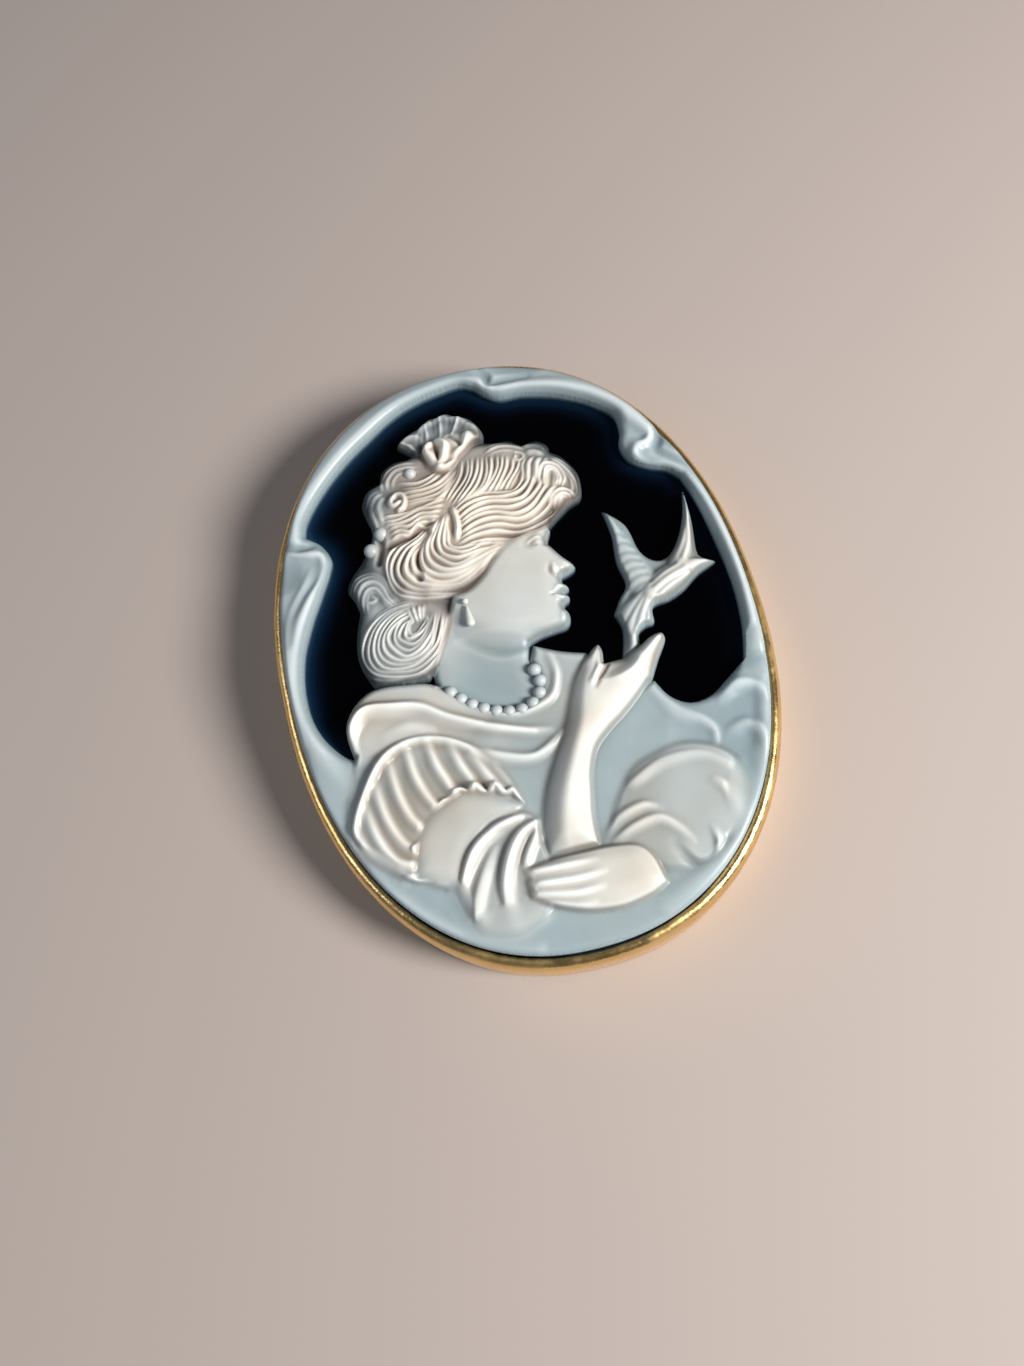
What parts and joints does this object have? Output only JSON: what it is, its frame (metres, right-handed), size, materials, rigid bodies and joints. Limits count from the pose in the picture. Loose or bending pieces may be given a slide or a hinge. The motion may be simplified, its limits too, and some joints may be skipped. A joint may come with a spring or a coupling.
{
  "type": "cameo pendant",
  "caption": "Oval cameo pendant: pale relief of a lady's profile with a bird on a dark ground, in a plain gold-coloured band with a chain tube at the back.",
  "frame": {"origin": "centre of the oval, on the plane that the back rim rests on", "axes": "+Z out of the carved face, +Y towards the top of the head, +X to the right"},
  "size_m": [0.031, 0.041, 0.0066],
  "materials": {
    "gold": "polished gold alloy, hand burnished",
    "dark_stone": "polished, near black with a navy cast",
    "pale_stone": "satin, milky warm white",
    "pale_stone_warm": "satin, warm pinkish white",
    "pale_stone_thin": "satin, blue-grey where thin"
  },
  "bodies": {
    "root": {"gold_setting": "gold", "dark_ground": "dark_stone", "scroll_border": "pale_stone_thin", "face_and_neck": "pale_stone", "hair": "pale_stone_warm", "hair_flowers": "pale_stone_thin", "hair_pearls": "pale_stone", "earring": "pale_stone", "necklace": "pale_stone", "bodice": "pale_stone", "near_sleeve": "pale_stone", "near_arm": "pale_stone", "elbow_wrap": "pale_stone", "raised_arm": "pale_stone", "folded_hand": "pale_stone", "far_sleeve": "pale_stone", "drape": "pale_stone_thin", "bird": "pale_stone_thin"}
  },
  "joints": []
}
